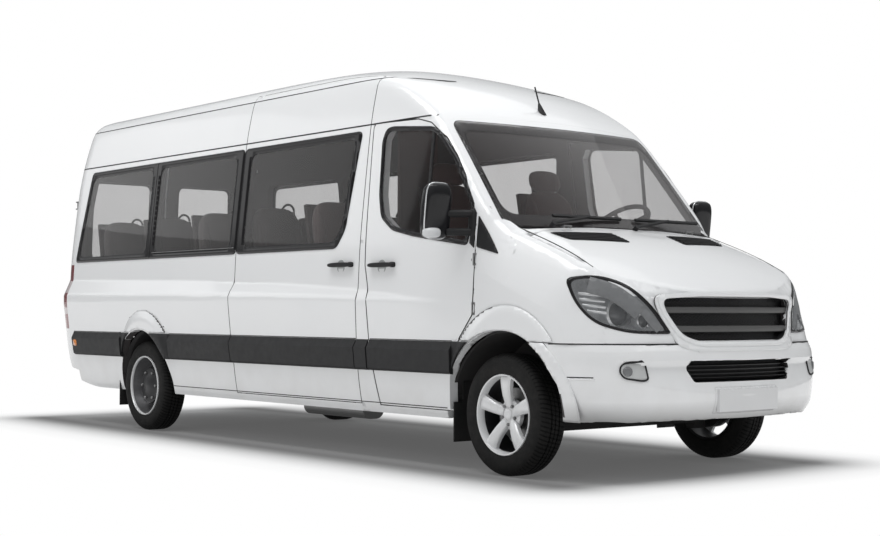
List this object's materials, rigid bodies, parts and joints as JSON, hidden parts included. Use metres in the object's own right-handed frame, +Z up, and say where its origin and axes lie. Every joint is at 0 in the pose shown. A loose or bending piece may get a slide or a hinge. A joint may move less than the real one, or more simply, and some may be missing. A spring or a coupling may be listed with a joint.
{
  "type": "minibus",
  "caption": "High-roof long-wheelbase passenger minibus with hinged front and rear doors, opening bonnet, steered front wheels and seats in rows.",
  "frame": {"origin": "on the ground under the middle of the overall length", "axes": "+X forward, +Y to the left, +Z up"},
  "size_m": [6.945, 2.426, 2.66],
  "materials": {
    "body_paint": "gloss white",
    "strip": "grained dark grey",
    "black_plastic": "grained black",
    "glass": "tinted",
    "lamp_lens": "clear",
    "tail_lens": "red",
    "tyre": "matte",
    "wheel": "satin",
    "steel": "satin black",
    "cast": "rough",
    "seat_fabric": "woven",
    "trim": "grained",
    "floor_vinyl": "matte",
    "plate_blank": "blank white"
  },
  "bodies": {
    "chassis": {"antenna": "black_plastic", "bumper_front": "body_paint", "bumper_rear": "body_paint", "cab_frame": "body_paint", "dashboard": "trim", "driveline": "cast", "engine": "cast", "exhaust": "steel", "floor": "floor_vinyl", "front_axle": "cast", "front_panel": "body_paint", "fuel_tank": "steel", "grille": "black_plastic", "headlamps": "lamp_lens", "hinges": "steel", "mud_flaps": "black_plastic", "plate_front": "plate_blank", "rear_axle": "cast", "roof": "body_paint", "seat_frames": "trim", "seat_pads": "seat_fabric", "side_glass": "glass", "side_left": "body_paint", "side_right": "body_paint", "sliding_door": "body_paint", "strips": "strip", "tail_lamps": "tail_lens", "underframe": "steel", "wheelhouses": "black_plastic", "windscreen": "glass", "wing_left": "body_paint", "wing_right": "body_paint", "wipers": "black_plastic"},
    "door_right": {"door_right": "body_paint", "glass_door_right": "glass", "strip_door_right": "strip", "mirror_right": "black_plastic"},
    "door_left": {"door_left": "body_paint", "glass_door_left": "glass", "strip_door_left": "strip", "mirror_left": "black_plastic"},
    "rear_door_right": {"rear_door_right": "body_paint", "glass_rear_door_right": "glass"},
    "rear_door_left": {"rear_door_left": "body_paint", "glass_rear_door_left": "glass"},
    "bonnet": {"bonnet": "body_paint"},
    "steering_wheel": {"steering_wheel": "trim"},
    "knuckle_right": {"knuckle_right": "cast"},
    "knuckle_left": {"knuckle_left": "cast"},
    "front_wheel_right": {"tyre_front_right": "tyre", "wheel_front_right": "wheel"},
    "front_wheel_left": {"tyre_front_left": "tyre", "wheel_front_left": "wheel"},
    "rear_wheel_right": {"tyre_rear_right": "tyre", "wheel_rear_right": "wheel"},
    "rear_wheel_left": {"tyre_rear_left": "tyre", "wheel_rear_left": "wheel"}
  },
  "joints": [
    {"name": "door_right_hinge", "type": "hinge", "parent": "chassis", "child": "door_right", "pos_m": [2.241, -0.976, 1.1], "axis": [0, 0, 1], "range_deg": [0, 70]},
    {"name": "door_left_hinge", "type": "hinge", "parent": "chassis", "child": "door_left", "pos_m": [2.241, 0.976, 1.1], "axis": [0, 0, -1], "range_deg": [0, 70]},
    {"name": "rear_door_right_hinge", "type": "hinge", "parent": "chassis", "child": "rear_door_right", "pos_m": [-3.464, -0.8, 1.4], "axis": [0, 0, 1], "range_deg": [0, 180]},
    {"name": "rear_door_left_hinge", "type": "hinge", "parent": "chassis", "child": "rear_door_left", "pos_m": [-3.464, 0.8, 1.4], "axis": [0, 0, -1], "range_deg": [0, 180]},
    {"name": "bonnet_hinge", "type": "hinge", "parent": "chassis", "child": "bonnet", "pos_m": [2.549, 0, 1.432], "axis": [0, -1, 0], "range_deg": [0, 55]},
    {"name": "steer_left", "type": "hinge", "parent": "chassis", "child": "knuckle_left", "pos_m": [2.4685, 0.7, 0.348], "axis": [0, 0, 1], "range_deg": [-33, 33]},
    {"name": "steer_right", "type": "hinge", "parent": "chassis", "child": "knuckle_right", "pos_m": [2.4685, -0.7, 0.348], "axis": [0, 0, 1], "range_deg": [-33, 33]},
    {"name": "steering_column", "type": "hinge", "parent": "chassis", "child": "steering_wheel", "pos_m": [2.04, 0.42, 1.495], "axis": [-0.5736, 0, 0.8192], "range_deg": [-470, 470]},
    {"name": "spin_front_right", "type": "hinge", "parent": "knuckle_right", "child": "front_wheel_right", "pos_m": [2.4685, -0.855, 0.348], "axis": [0, 1, 0], "continuous": true},
    {"name": "spin_front_left", "type": "hinge", "parent": "knuckle_left", "child": "front_wheel_left", "pos_m": [2.4685, 0.855, 0.348], "axis": [0, 1, 0], "continuous": true},
    {"name": "spin_rear_right", "type": "hinge", "parent": "chassis", "child": "rear_wheel_right", "pos_m": [-1.8565, -0.87, 0.348], "axis": [0, 1, 0], "continuous": true},
    {"name": "spin_rear_left", "type": "hinge", "parent": "chassis", "child": "rear_wheel_left", "pos_m": [-1.8565, 0.87, 0.348], "axis": [0, 1, 0], "continuous": true}
  ],
  "couplings": [
    {"joint": "steer_right", "follows": "steer_left", "ratio": 1},
    {"joint": "steering_column", "follows": "steer_left", "ratio": 14}
  ]
}
